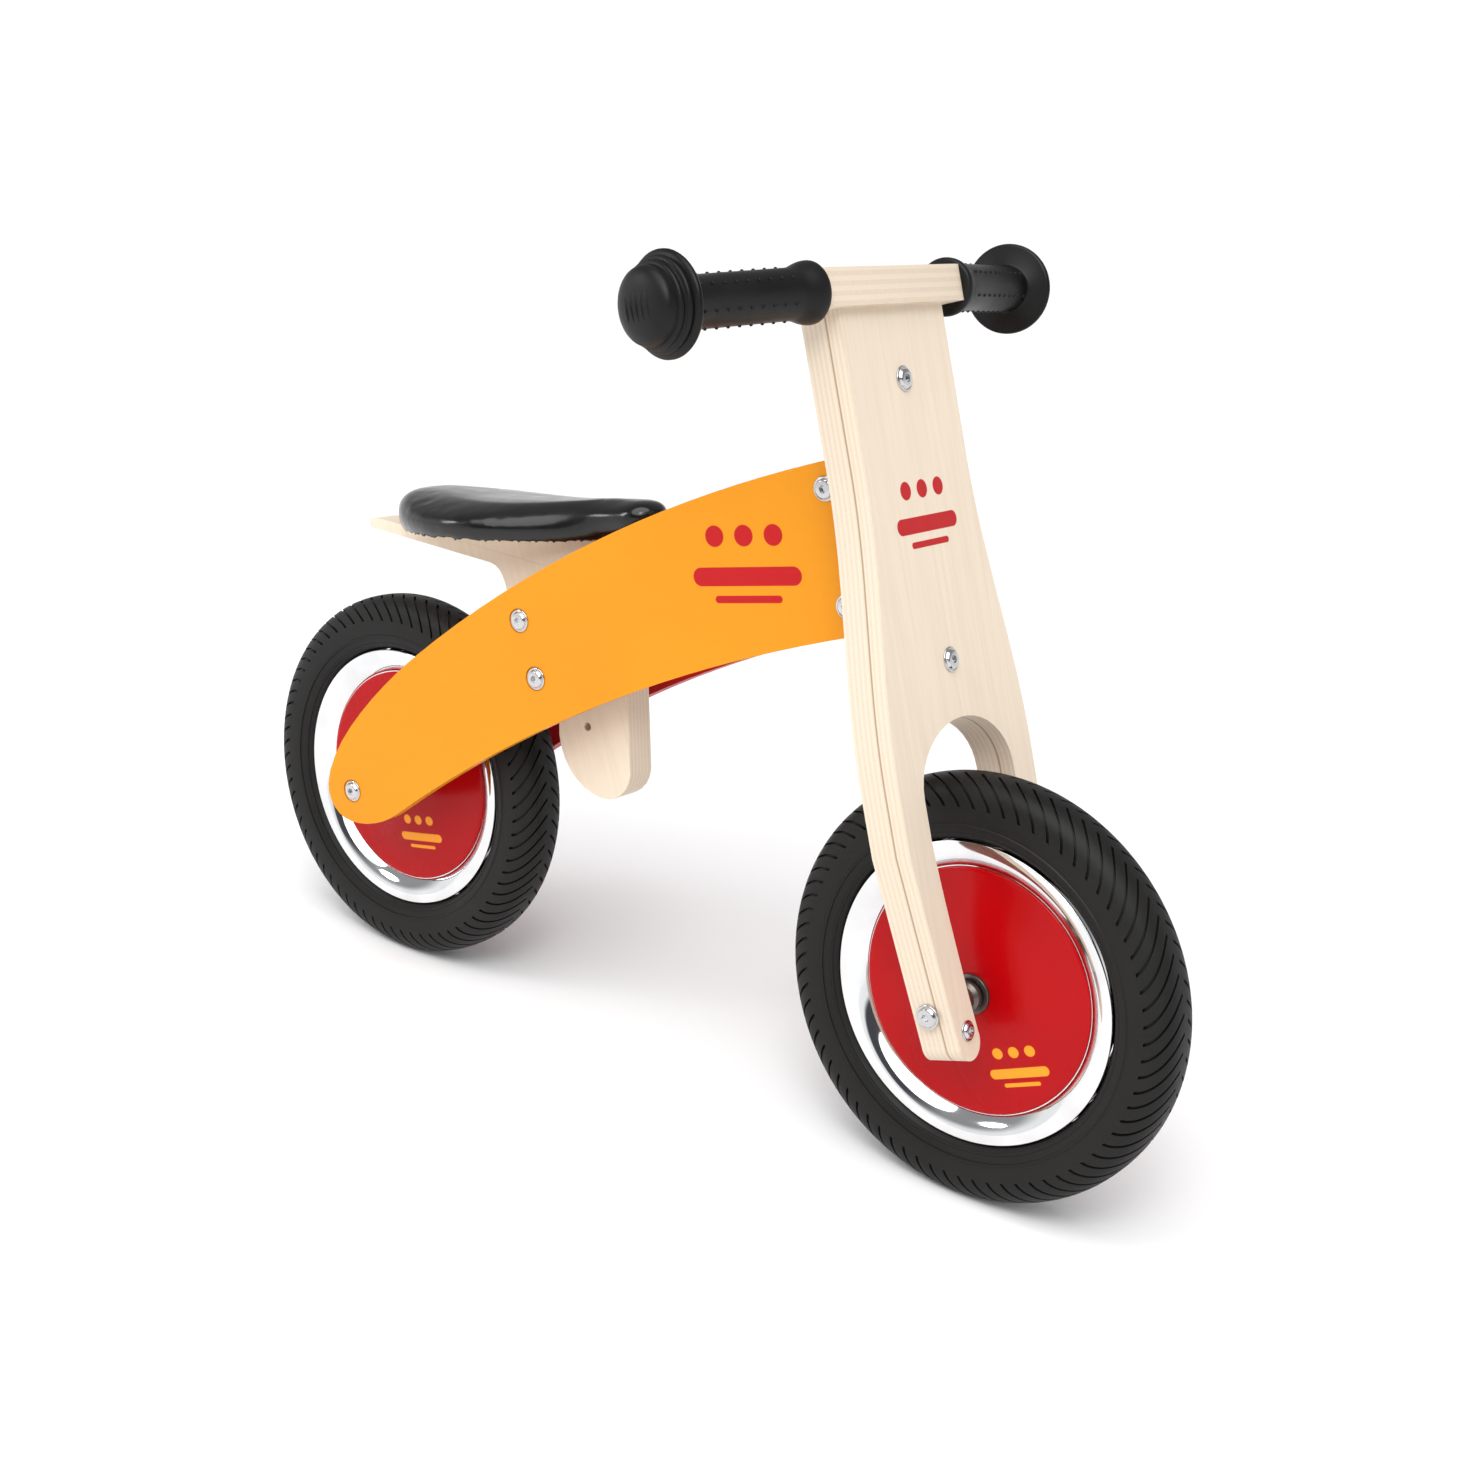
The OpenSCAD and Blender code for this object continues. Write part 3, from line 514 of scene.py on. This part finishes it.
def makeRim(wheel):
    # half a section, from the well over the rolled lip and down the dish, then its mirror
    look = rimLook
    low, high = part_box(wheel + "_rim")
    lip = (high.z - low.z) / 2
    halfWidth = (high.y - low.y) / 2
    roll = look["roll"]
    half = [(lip - depth, height) for depth, height in look["well"]]
    half += [(lip - depth, halfWidth - look["wall"]) for depth in look["wallDepths"]]
    for turn in (math.radians(degrees) for degrees in look["rollTurns"]):
        half.append((lip - roll + roll * math.cos(turn), halfWidth - roll + roll * math.sin(turn)))
    for step in range(1, look["dishSteps"] + 1):
        t = step / look["dishSteps"]
        fall = (halfWidth - look["seat"]) * t ** look["curve"]
        half.append((lip - look["lip"] - look["dish"] * t, halfWidth - fall))
    half += [(lip - depth, height) for depth, height in look["back"]]
    profile = half + [(radius, -height) for radius, height in reversed(half[1:-1])]
    bm = moved(lathe(profile, look["steps"], closed=True), wheelPlace[wheel] @ wheelTurn)
    addPiece(wheel + "_rim_polished", bm, chrome, wheel + "_wheel", (wheel + "_rim",),
             look["sharp"])


discLook = {
    "red": (0.44, 0.001, 0.003), "deepRed": (0.38, 0.001, 0.003), "roughness": (0.20, 0.30),
    "specular": 0.14, "coat": 0.05, "coatRoughness": 0.10,
    "hole": 14.1 * mm, "flat": 24 * mm, "flatRound": 3 * mm, "thick": 1.7 * mm, "foot": 10 * mm,
    "margin": 4 * mm, "rings": 16, "steps": 128, "sharp": 40,
    "edge": [(1.6 * mm, 1.7 * mm), (0.5 * mm, 1.3 * mm), (0, 0.6 * mm), (0, 0)],  # inset and height
    "decorSize": 0.046, "decorAt": {"front": (0.039, -0.038, 24), "rear": (0.020, -0.040, 12)},
}


def redGloss(name, place, decor):
    look = discLook
    material, tree, shader = newMaterial(name)
    coords = localCoords(tree, place)
    cloud = noise(tree, coords, scale=9.0, detail=2.0)
    clouded = fade(tree, cloud, 0.0, 1.0, fromLow=0.35, fromHigh=0.7)
    red = mixColour(tree, clouded, look["red"], look["deepRed"])
    mask = decorMask(tree, localCoords(tree, decor["place"]), decor)
    tree.links.new(mixColour(tree, mask, red, decor["colour"]), shader.inputs["Base Color"])
    rough = fade(tree, cloud, *look["roughness"], fromLow=0.3, fromHigh=0.7)
    tree.links.new(rough, shader.inputs["Roughness"])
    setSheen(shader, look["specular"], look["coat"], look["coatRoughness"])
    ripple = noise(tree, coords, scale=60.0, detail=2.0)
    addBump(tree, shader, ripple, strength=0.05, distance=0.4 * mm)
    return material


def makeDisc(wheel, side, name):
    look = discLook
    node = f"{wheel}_disc_{name}"
    low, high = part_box(node)
    edge = (high.z - low.z) / 2
    outside = max(abs(low.y), abs(high.y))
    inside = min(abs(low.y), abs(high.y))
    flat, hole = look["flat"], look["hole"]

    def level(radius):
        # height of the dish's underside: full over the flat middle, none at its foot
        t = 1 - (radius - flat) / (edge - look["foot"] - flat)
        return (outside - inside - look["thick"]) * ease(min(1, max(0, t)))

    rings = look["rings"]
    radii = [flat + (edge - look["margin"] - flat) * i / rings for i in range(rings + 1)]
    top = [(hole, outside), (flat - look["flatRound"], outside)]
    top += [(radius, inside + look["thick"] + level(radius)) for radius in radii]
    top += [(edge - inset, inside + height) for inset, height in look["edge"]]
    under = [(radius, inside + level(radius)) for radius in reversed(radii)]
    under.append((hole, inside + level(flat)))
    place = wheelPlace[wheel]
    bm = moved(lathe(top + under, look["steps"], closed=True), place @ turned(-90 * side, "X"))
    face = framePlace(place.translation + Vector((0, side * outside, 0)), Vector((-side, 0, 0)),
                      Vector((0, 0, 1)), Vector((0, side, 0)))
    forward, upward, tilt = look["decorAt"][wheel]
    decorPlace = face @ Matrix.Translation((-side * forward, upward, 0)) @ turned(-side * tilt, "Z")
    decor = decorOn(decorPlace, Vector((0, side, 0)), look["decorSize"], decorOrange)
    red = redGloss(node + "_red", face, decor)
    addPiece(node + "_dished", bm, red, wheel + "_wheel", (node,), look["sharp"])


def makeWheels():
    for wheel in ("front", "rear"):
        makeTyre(wheel)
        makeRim(wheel)
        for side, name in ((-1, "right"), (1, "left")):
            makeDisc(wheel, side, name)
        for node in ("_hub", "_spacers"):
            softened(wheel + node, darkMetal, 0.5 * mm, segments=2)
        paintNode(wheel + "_bearings", steel)
        paintNode(wheel + "_tube", tubeRubber)
        paintNode(wheel + "_axle", steel)


gripLook = {
    "black": (0.003, 0.003, 0.003), "bore": 11 * mm, "start": 6.2 * mm, "length": 150 * mm,
    "bar": 16.3 * mm, "flare": 20 * mm, "guard": 32.3 * mm, "bottom": 6 * mm, "around": 96, "sharp": 50,
    "taperStart": 9.5 * mm, "taper": 18 * mm, "taperSteps": 10,
    "capInset": 8.6 * mm, "capBack": 10.2 * mm, "dome": 8.2 * mm, "domeSteps": 12, "domeCurve": 0.8,
    "nubRows": 6, "nubs": 10, "nubPitch": 9.5 * mm, "nubRadius": 1.25 * mm, "nubFirst": 33 * mm,
    "nubSink": 0.1 * mm,
    "ribs": 5, "ribPitch": 4.6 * mm, "ribSpread": 18 * mm, "ribLeast": 0.2, "ribSink": 3.7 * mm,
    "ribFall": 1.8 * mm, "ribHalf": (14 * mm, 1.3 * mm, 4.6 * mm),
    "half": 72 * mm, "sweep": 9.5, "barForward": 12 * mm, "barHeight": 471.5 * mm,
    # outline points: inset from the radius, and distance back from the end
    "mouth": [(2.2 * mm, 0), (0.9 * mm, -0.5 * mm), (0.2 * mm, -1.6 * mm), (0, -3 * mm)],
    "neck": [(0, 29 * mm), (-0.5 * mm, 27.3 * mm), (-1.8 * mm, 26.4 * mm)],
    "guardEdge": [(2.0 * mm, 25.4 * mm), (0.6 * mm, 24.9 * mm), (0, 23.8 * mm), (0, 22.6 * mm),
                  (0.6 * mm, 21.6 * mm), (2.2 * mm, 20.9 * mm)],
    "rings": [(3.4 * mm, 20.2 * mm), (6.0 * mm, 15.6 * mm)],
    "ringEdge": [(0.6 * mm, 0), (0, -0.9 * mm), (0, -2.7 * mm), (0.6 * mm, -3.4 * mm),
                 (1.9 * mm, -3.7 * mm), (2.3 * mm, -3.9 * mm)],
}


def armPlace(side):
    # the arm of the bar: z outwards along it, from the bend
    look = gripLook
    middle = forkPlace @ Vector((look["barForward"], side * look["half"], look["barHeight"]))
    turn = Matrix.Rotation(math.radians(look["sweep"] * side), 4, boardUp)
    outward = (turn @ Vector((0, side, 0))).normalized()
    forward = (turn @ boardFront).normalized()
    return framePlace(middle, forward, outward.cross(forward), outward)


def outlinePoints(radius, end, outline):
    return [(radius - inset, end - back) for inset, back in outline]


def gripProfile():
    look = gripLook
    length, bar, flare, guard = look["length"], look["bar"], look["flare"], look["guard"]
    points = [(look["bore"], look["start"] + 0.4 * mm), (look["bore"] + 0.5 * mm, look["start"])]
    points += outlinePoints(flare, look["start"], look["mouth"])
    for step in range(1, look["taperSteps"] + 1):
        t = step / look["taperSteps"]
        points.append((flare - (flare - bar) * ease(t), look["taperStart"] + look["taper"] * t))
    points += outlinePoints(bar, length, look["neck"])
    points += outlinePoints(guard, length, look["guardEdge"])
    for inset, back in look["rings"]:
        points += outlinePoints(guard - inset, length - back, look["ringEdge"])
    cap, dome = guard - look["capInset"], look["dome"]
    points.append((cap, length - look["capBack"]))
    for step in range(look["domeSteps"]):
        turn = math.radians(90 * step / look["domeSteps"])
        radius = cap * math.cos(turn) ** look["domeCurve"]
        points.append((radius, length - dome + dome * math.sin(turn)))
    points.append((0.0, length))
    return points


def makeGrip(side, node):
    look = gripLook
    place = armPlace(side)
    bottom = look["length"] - look["bottom"]
    parts = [lathe([(0, bottom), (look["bore"], bottom)] + gripProfile(), look["around"])]
    for row in range(look["nubRows"]):
        turn = Matrix.Rotation(2 * math.pi * (row + 0.5) / look["nubRows"], 4, "Z")
        for i in range(look["nubs"]):
            along = look["nubFirst"] + i * look["nubPitch"]
            nub = bmesh.new()
            bmesh.ops.create_icosphere(nub, subdivisions=2, radius=look["nubRadius"])
            at = Matrix.Translation((look["bar"] - look["nubSink"], 0, along))
            parts.append(moved(nub, turn @ at))
    upright = place.to_3x3().inverted() @ boardUp
    lean = Matrix.Rotation(math.atan2(upright.y, upright.x), 4, "Z")
    length, width, height = look["ribHalf"]
    for i in range(look["ribs"]):
        # ribs over the dome of the tip, shorter and lower towards its edge
        offset = (i - (look["ribs"] - 1) / 2) * look["ribPitch"]
        outward = (offset / look["ribSpread"]) ** 2
        reach = math.sqrt(max(look["ribLeast"], 1 - outward))
        rib = bmesh.new()
        bmesh.ops.create_uvsphere(rib, u_segments=20, v_segments=14, radius=1.0)
        shape = Matrix.Diagonal((length * reach, width, height, 1))
        sink = look["length"] - look["ribSink"] - look["ribFall"] * outward
        parts.append(moved(rib, lean @ Matrix.Translation((0, offset, sink)) @ shape))
    bm = moved(joined(parts), place)
    addPiece(node + "_moulded", bm, gripRubber, "fork", (node,), look["sharp"])


saddleLook = {
    "black": (0.004, 0.004, 0.004), "grey": (0.008, 0.0075, 0.007), "roughness": (0.17, 0.27),
    "specular": 0.35, "coat": 0.25, "coatRoughness": 0.10,
    "voxel": 2.0 * mm, "shrink": 0.5 * mm, "cap": 3.5 * mm, "pressure": 4.0, "quality": 5, "frames": 20,
    "smoothing": 0.5, "relax": 12, "sharp": 70,
}


def vinyl(name):
    # glossy upholstery with a fine pebbled grain
    look = saddleLook
    material, tree, shader = newMaterial(name)
    coords = addNode(tree, "TexCoord").outputs["Object"]
    cells = addNode(tree, "TexVoronoi", {"Vector": coords, "Scale": 900.0}).outputs["Distance"]
    creases = noise(tree, coords, scale=40.0, detail=4.0)
    creased = fade(tree, creases, 0.0, 1.0, fromLow=0.35, fromHigh=0.7)
    rough = fade(tree, creases, *look["roughness"], fromLow=0.3, fromHigh=0.7)
    tree.links.new(mixColour(tree, creased, look["black"], look["grey"]), shader.inputs["Base Color"])
    tree.links.new(rough, shader.inputs["Roughness"])
    setSheen(shader, look["specular"], look["coat"], look["coatRoughness"])
    addBump(tree, shader, cells, strength=0.06, distance=0.15 * mm)
    addBump(tree, shader, creases, strength=0.10, distance=0.8 * mm)
    return material


def applyModifiers(piece):
    graph = bpy.context.evaluated_depsgraph_get()
    mesh = bpy.data.meshes.new_from_object(piece.evaluated_get(graph), depsgraph=graph)
    old = piece.data
    piece.modifiers.clear()
    piece.data = mesh
    bpy.data.meshes.remove(old)


def inflate(piece, look):
    # cloth under pressure, with each point's travel held to the cap
    start = [vert.co.copy() for vert in piece.data.vertices]
    cloth = piece.modifiers.new("pressure", "CLOTH")
    cloth.settings.use_pressure = True
    cloth.settings.uniform_pressure_force = look["pressure"]
    cloth.settings.effector_weights.gravity = 0
    cloth.settings.quality = look["quality"]
    scene = bpy.context.scene
    for step in range(1, look["frames"] + 1):
        scene.frame_set(step)
    graph = bpy.context.evaluated_depsgraph_get()
    swollen = [vert.co.copy() for vert in piece.evaluated_get(graph).data.vertices]
    piece.modifiers.clear()
    scene.frame_set(1)
    for vert, before, after in zip(piece.data.vertices, start, swollen):
        travel = after - before
        vert.co = before + travel * min(1.0, look["cap"] / max(travel.length, 1e-9))


def makeSaddle():
    look = saddleLook
    bm = mergedCopy("saddle_pad")
    for vert in bm.verts:
        vert.co -= vert.normal * look["shrink"]
    pad = addPiece("saddle_cover", bm, vinyl("saddle_vinyl"), "frame", ("saddle_pad",),
                   look["sharp"])
    remesh = pad.modifiers.new("evenMesh", "REMESH")
    remesh.mode = "VOXEL"
    remesh.voxel_size = look["voxel"]
    applyModifiers(pad)
    inflate(pad, look)
    smooth = pad.modifiers.new("relaxed", "SMOOTH")
    smooth.factor = look["smoothing"]
    smooth.iterations = look["relax"]
    applyModifiers(pad)
    pad.data.polygons.foreach_set("use_smooth", [True] * len(pad.data.polygons))


boltLook = {"round": 0.25 * mm, "segments": 2, "angle": 30}


def makeFasteners():
    look = boltLook
    for node in ("head_screws", "seat_bolts", "seat_sleeves", "rear_axle_bolts", "front_axle_bolts",
                 "lug_screws", "leg_screws"):
        softened(node, steel, look["round"], look["segments"], look["angle"])
    for node in ("steering_pin", "steering_nut", "saddle_screws"):
        paintNode(node, steel)
    paintNode("head_bushes", bushPlastic)


cameraLook = {
    "azimuth": 36.33, "elevation": 17.5, "distance": 1.5083, "roll": 5.367, "lens": 51.3, "sensor": 36,
    "target": (0.04235, 0.0, 0.27225),
}
studioLook = {
    "floor": (0.95, 0.95, 0.95), "floorHalf": 30, "floorRoughness": 0.8,
    "horizon": (1.04, 1.04, 1.04), "ceiling": (0.34, 0.34, 0.35), "skyFade": (0.10, 0.40),
    "room": (0.07, 0.07, 0.08), "roomTilt": 0.1, "roomFade": (0.45, 0.75), "roomRise": (0.07, 0.16),
    "sun": {"from": (0.35, -0.85, 1.5), "strength": 2.95, "angle": 70.0},
    "lights": [
        {"name": "keyBox", "at": (0.9, -1.3, 1.7), "to": (0.0, 0.0, 0.35), "size": 0.7, "power": 10},
        {"name": "sideBox", "at": (-1.3, -1.2, 1.1), "to": (-0.2, 0.0, 0.3), "size": 0.5, "power": 5},
    ],
}


def aim(item, target):
    item.rotation_mode = "QUATERNION"
    item.rotation_quaternion = (Vector(target) - item.location).to_track_quat("-Z", "Y")


def makeCamera():
    look = cameraLook
    azimuth, elevation = math.radians(look["azimuth"]), math.radians(look["elevation"])
    back = Vector((math.sin(azimuth) * math.cos(elevation), -math.cos(azimuth) * math.cos(elevation),
                   math.sin(elevation)))
    data = bpy.data.cameras.new("camera")
    data.lens = look["lens"]
    data.sensor_width = look["sensor"]
    camera = bpy.data.objects.new("camera", data)
    camera.location = Vector(look["target"]) + back * look["distance"]
    turn = (-back).to_track_quat("-Z", "Y").to_matrix() @ Matrix.Rotation(math.radians(look["roll"]), 3, "Z")
    camera.rotation_mode = "QUATERNION"
    camera.rotation_quaternion = turn.to_quaternion()
    bpy.context.collection.objects.link(camera)
    bpy.context.scene.camera = camera


def makeSky():
    # pale at the horizon, grey overhead, with the unlit room behind the camera
    look = studioLook
    world = bpy.data.worlds.new("studio")
    world.use_nodes = True
    tree = world.node_tree
    direction = addNode(tree, "TexCoord").outputs["Generated"]
    azimuth = math.radians(cameraLook["azimuth"])
    cameraWay = (math.sin(azimuth), -math.cos(azimuth), look["roomTilt"])
    inputs = {0: direction, 1: cameraWay}
    toCamera = addNode(tree, "VectorMath", inputs, operation="DOT_PRODUCT").outputs["Value"]
    height = addNode(tree, "SeparateXYZ", {0: direction}).outputs[2]
    sky = mixColour(tree, smoothFade(tree, height, *look["skyFade"]), look["horizon"], look["ceiling"])
    behind = calc(tree, "MULTIPLY", smoothFade(tree, toCamera, *look["roomFade"]),
                  smoothFade(tree, height, *look["roomRise"]))
    tree.links.new(mixColour(tree, behind, sky, look["room"]), tree.nodes["Background"].inputs[0])
    bpy.context.scene.world = world


def addLamp(data, at, target):
    lamp = bpy.data.objects.new(data.name, data)
    lamp.location = at
    aim(lamp, target)
    bpy.context.collection.objects.link(lamp)


def makeStudio():
    look = studioLook
    makeSky()
    sun = bpy.data.lights.new("sun", "SUN")
    sun.energy = look["sun"]["strength"]
    sun.angle = math.radians(look["sun"]["angle"])
    addLamp(sun, look["sun"]["from"], (0, 0, 0))
    for light in look["lights"]:
        data = bpy.data.lights.new(light["name"], "AREA")
        data.shape = "DISK"
        data.size = light["size"]
        data.energy = light["power"]
        addLamp(data, light["at"], light["to"])
    bm = bmesh.new()
    bmesh.ops.create_grid(bm, x_segments=4, y_segments=4, size=look["floorHalf"])
    mesh = bpy.data.meshes.new("floor")
    bm.to_mesh(mesh)
    bm.free()
    floor = bpy.data.objects.new("floor", mesh)
    bpy.context.collection.objects.link(floor)
    material, _, shader = newMaterial("pale_floor")
    shader.inputs["Base Color"].default_value = (*look["floor"], 1)
    shader.inputs["Roughness"].default_value = look["floorRoughness"]
    mesh.materials.append(material)
    bpy.context.scene.view_settings.view_transform = "Standard"


makeCamera()
makeStudio()
print("studio ready")
steel = metal("bright_steel", colour=(0.60, 0.60, 0.61), roughness=0.14, brushed=0.1)
chrome = metal("chrome_plate", colour=(0.80, 0.81, 0.82), roughness=0.04)
darkMetal = metal("dark_metal", colour=(0.16, 0.145, 0.13), roughness=0.32, metallic=0.85, brushed=0.15)
tyreRubber = rubber("tyre_black", tyreLook["black"], 0.52, grainScale=700.0, grainDepth=0.10 * mm)
tubeRubber = rubber("tube_black", (0.02, 0.02, 0.02), 0.6, grainScale=300.0, grainDepth=0.1 * mm)
gripRubber = rubber("grip_black", gripLook["black"], 0.42, grainScale=900.0, grainDepth=0.06 * mm)
bushPlastic = rubber("bush_plastic", (0.03, 0.03, 0.032), 0.4, grainScale=500.0, grainDepth=0.03 * mm)
makeFramePanels()
makeWoodwork()
print("woodwork shaped")
makeWheels()
print("wheels made")
makeGrip(-1, "grip_right")
makeGrip(1, "grip_left")
print("grips moulded")
makeSaddle()
print("saddle padded")
makeFasteners()
